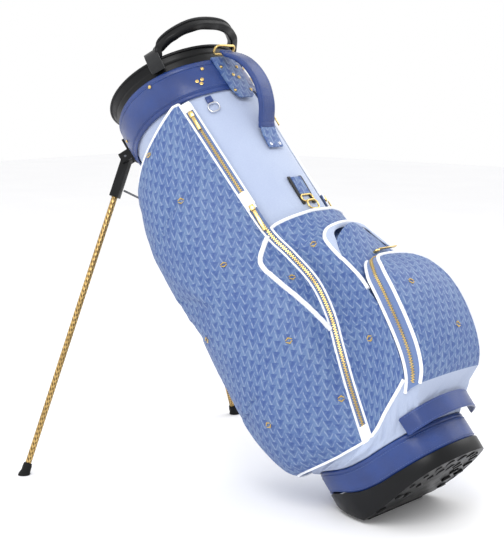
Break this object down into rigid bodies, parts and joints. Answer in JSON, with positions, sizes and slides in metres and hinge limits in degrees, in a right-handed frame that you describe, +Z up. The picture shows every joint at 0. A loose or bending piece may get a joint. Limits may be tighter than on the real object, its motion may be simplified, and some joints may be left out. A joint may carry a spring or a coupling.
{
  "type": "golf stand bag",
  "caption": "Leaning golf bag with printed pockets, blue leather collar and base band, moulded cuff and boot, divided top, folding wire-linked legs and a rocking heel plate.",
  "frame": {"origin": "on the ground, at the middle of the bounding box of the bag as it stands leaning on its legs", "axes": "+Z up, +X from the feet towards the base of the bag and the side that carries the ball pocket, the bag's mouth points towards -X and up, and Y is the mirror direction"},
  "size_m": [0.7802, 0.6004, 0.821],
  "materials": {
    "blue_leather": "grained leather with a soft sheen",
    "printed_fabric": "woven cloth printed with a fine pattern",
    "lavender_fabric": "plain woven cloth",
    "black_plastic": "moulded, lightly textured",
    "black_webbing": "woven webbing",
    "gold_metal": "polished gold plating",
    "leg_tube": "gold anodised with a fine woven texture",
    "silver_metal": "polished",
    "dark_steel": "satin",
    "black_rubber": "matt",
    "lining": "dark knitted lining",
    "zip_tape": "woven zip tape"
  },
  "bodies": {
    "bag": {"base_boot": "black_plastic", "leather_band": "blue_leather", "skirt": "lavender_fabric", "base_strap": "blue_leather", "body_tube": "lavender_fabric", "collar": "blue_leather", "cuff": "black_plastic", "divider_frame": "lining", "divider_curtain_long": "lining", "divider_curtain_right_1": "lining", "divider_curtain_right_2": "lining", "divider_curtain_left_1": "lining", "divider_curtain_left_2": "lining", "side_pocket_right": "printed_fabric", "side_pocket_left": "printed_fabric", "upper_zip_right": "zip_tape", "upper_zip_left": "zip_tape", "lower_zip_right": "zip_tape", "lower_zip_left": "zip_tape", "front_panel": "printed_fabric", "drink_pocket": "printed_fabric", "ball_pocket": "printed_fabric", "grab_handle": "black_webbing", "handle_tab": "printed_fabric", "carry_handle": "blue_leather", "handle_ring": "gold_metal", "anchor_tab": "printed_fabric", "anchor_frame": "gold_metal", "ring_tab_right": "blue_leather", "ring_tab_left": "blue_leather", "stand_bracket": "black_plastic", "leg_pin_right": "dark_steel", "leg_pin_left": "dark_steel", "rod_guide_upper": "black_plastic", "rod_guide_lower": "black_plastic", "heel_pin": "dark_steel", "zip_slider_lower_right": "gold_metal", "zip_slider_lower_left": "gold_metal", "zip_slider_ball": "gold_metal"},
    "push_rod": {"push_rod": "dark_steel"},
    "heel_plate": {"heel_plate": "black_rubber"},
    "anchor_ring": {"anchor_ring": "gold_metal"},
    "leg_right": {"leg_socket_right": "black_plastic", "leg_tube_right": "leg_tube", "leg_foot_right": "black_rubber"},
    "spreader_right": {"spreader_right": "dark_steel"},
    "collar_ring_right": {"collar_ring_right": "silver_metal"},
    "zip_slider_upper_right": {"zip_slider_upper_right": "gold_metal"},
    "zip_pull_upper_right": {"zip_pull_upper_right": "gold_metal"},
    "zip_pull_lower_right": {"zip_pull_lower_right": "gold_metal"},
    "leg_left": {"leg_socket_left": "black_plastic", "leg_tube_left": "leg_tube", "leg_foot_left": "black_rubber"},
    "spreader_left": {"spreader_left": "dark_steel"},
    "collar_ring_left": {"collar_ring_left": "silver_metal"},
    "zip_slider_upper_left": {"zip_slider_upper_left": "gold_metal"},
    "zip_pull_upper_left": {"zip_pull_upper_left": "gold_metal"},
    "zip_pull_lower_left": {"zip_pull_lower_left": "gold_metal"},
    "zip_pull_ball": {"zip_pull_ball": "gold_metal"}
  },
  "joints": [
    {"name": "leg_right_swing", "type": "hinge", "parent": "bag", "child": "leg_right", "pos_m": [-0.33979, -0.055, 0.56745], "axis": [-0.4099, 0.8534, -0.3222], "range_deg": [-44, 0]},
    {"name": "leg_left_swing", "type": "hinge", "parent": "bag", "child": "leg_left", "pos_m": [-0.33979, 0.055, 0.56745], "axis": [0.4099, 0.8534, 0.3222], "range_deg": [-44, 0]},
    {"name": "heel_plate_tilt", "type": "hinge", "parent": "bag", "child": "heel_plate", "pos_m": [0.24215, 0, 0.003], "axis": [0, -1, 0], "range_deg": [0, 38.2]},
    {"name": "push_rod_slide", "type": "slide", "parent": "bag", "child": "push_rod", "axis": [-0.6198, 0, 0.7848], "range_m": [-0.039, 0]},
    {"name": "spreader_right_swing", "type": "hinge", "parent": "push_rod", "child": "spreader_right", "pos_m": [-0.24303, -0.015, 0.45783], "axis": [0.6096, -0.774, 0.1713], "range_deg": [-25, 0]},
    {"name": "spreader_left_swing", "type": "hinge", "parent": "push_rod", "child": "spreader_left", "pos_m": [-0.24303, 0.015, 0.45783], "axis": [-0.6096, -0.774, -0.1713], "range_deg": [-25, 0]},
    {"name": "upper_zip_right_slide", "type": "slide", "parent": "bag", "child": "zip_slider_upper_right", "axis": [0.6602, 0.0205, -0.7508], "range_m": [0, 0.165]},
    {"name": "upper_zip_left_slide", "type": "slide", "parent": "bag", "child": "zip_slider_upper_left", "axis": [0.6602, -0.0205, -0.7508], "range_m": [0, 0.165]},
    {"name": "zip_pull_upper_right_flap", "type": "hinge", "parent": "zip_slider_upper_right", "child": "zip_pull_upper_right", "pos_m": [-0.12182, -0.10697, 0.65014], "axis": [-0.608, -0.6323, -0.4802], "range_deg": [0, 150]},
    {"name": "zip_pull_lower_right_flap", "type": "hinge", "parent": "bag", "child": "zip_pull_lower_right", "pos_m": [0.01366, -0.10212, 0.49719], "axis": [-0.5639, -0.6955, -0.4454], "range_deg": [0, 150]},
    {"name": "zip_pull_upper_left_flap", "type": "hinge", "parent": "zip_slider_upper_left", "child": "zip_pull_upper_left", "pos_m": [-0.12182, 0.10697, 0.65014], "axis": [0.608, -0.6323, 0.4802], "range_deg": [0, 150]},
    {"name": "zip_pull_lower_left_flap", "type": "hinge", "parent": "bag", "child": "zip_pull_lower_left", "pos_m": [0.01366, 0.10212, 0.49719], "axis": [0.5639, -0.6955, 0.4454], "range_deg": [0, 150]},
    {"name": "zip_pull_ball_flap", "type": "hinge", "parent": "bag", "child": "zip_pull_ball", "pos_m": [0.19327, 0.0062, 0.43542], "axis": [0.7848, 0, 0.6198], "range_deg": [0, 150]},
    {"name": "collar_ring_right_flap", "type": "hinge", "parent": "bag", "child": "collar_ring_right", "pos_m": [-0.11169, -0.06868, 0.67306], "axis": [-0.4171, -0.8471, -0.3294], "range_deg": [0, 120]},
    {"name": "collar_ring_left_flap", "type": "hinge", "parent": "bag", "child": "collar_ring_left", "pos_m": [-0.11169, 0.06868, 0.67306], "axis": [0.4171, -0.8471, 0.3294], "range_deg": [0, 120]},
    {"name": "anchor_ring_flap", "type": "hinge", "parent": "bag", "child": "anchor_ring", "pos_m": [0.05466, 0, 0.51071], "axis": [0, -1, 0], "range_deg": [0, 120]}
  ],
  "couplings": [
    {"joint": "leg_left_swing", "follows": "leg_right_swing", "ratio": 1},
    {"joint": "heel_plate_tilt", "follows": "leg_right_swing", "ratio": -0.8636},
    {"joint": "push_rod_slide", "follows": "leg_right_swing", "m_per_rad": 0.0367},
    {"joint": "spreader_right_swing", "follows": "leg_right_swing", "ratio": 0.5586},
    {"joint": "spreader_left_swing", "follows": "leg_right_swing", "ratio": 0.5586}
  ]
}
